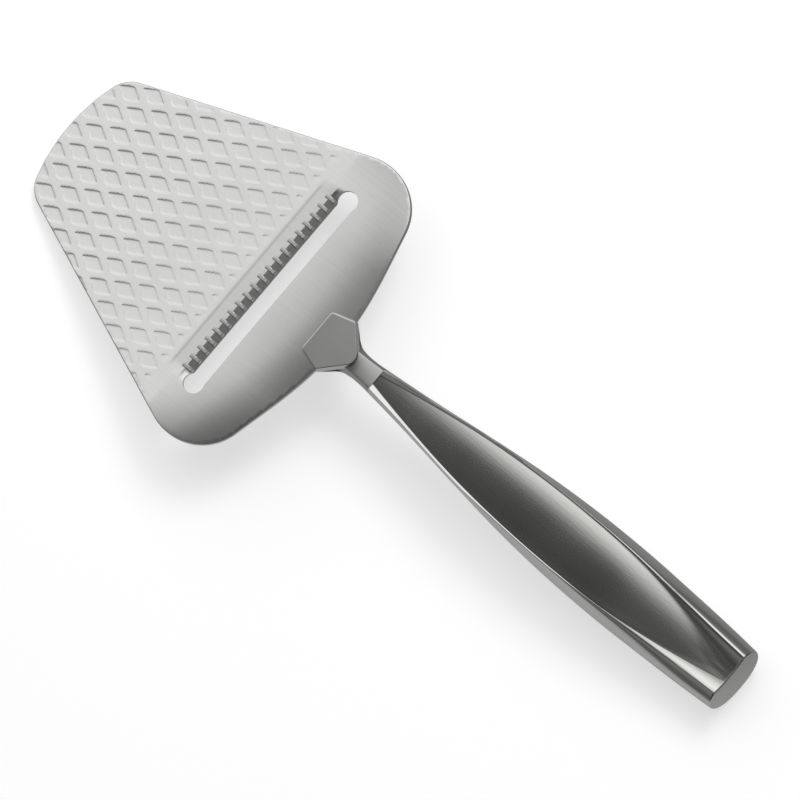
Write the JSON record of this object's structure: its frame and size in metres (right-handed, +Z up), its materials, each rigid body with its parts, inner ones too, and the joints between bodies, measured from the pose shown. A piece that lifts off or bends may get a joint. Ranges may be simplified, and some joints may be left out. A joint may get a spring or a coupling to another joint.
{
  "type": "cheese slicer",
  "caption": "Stainless steel cheese slicer with a flared, diamond-pressed blade, a cutting slot and a hollow leaf-topped handle.",
  "frame": {"origin": "On the table, under the middle of the outer box, as the slicer lies with the blade's front edge and the handle's end down", "axes": "+X from the handle's end to the blade's front edge, +Y to the user's left, +Z up"},
  "size_m": [0.233, 0.0908, 0.0185],
  "materials": {
    "blade_steel": "satin, finely brushed stainless sheet",
    "neck_steel": "polished stainless casting",
    "handle_steel": "polished stainless, lightly brushed along its length"
  },
  "bodies": {
    "root": {"slicing_blade": "blade_steel", "cast_neck": "neck_steel", "handle_top_shell": "handle_steel", "handle_under_shell": "handle_steel", "handle_end_cap": "handle_steel"}
  },
  "joints": []
}
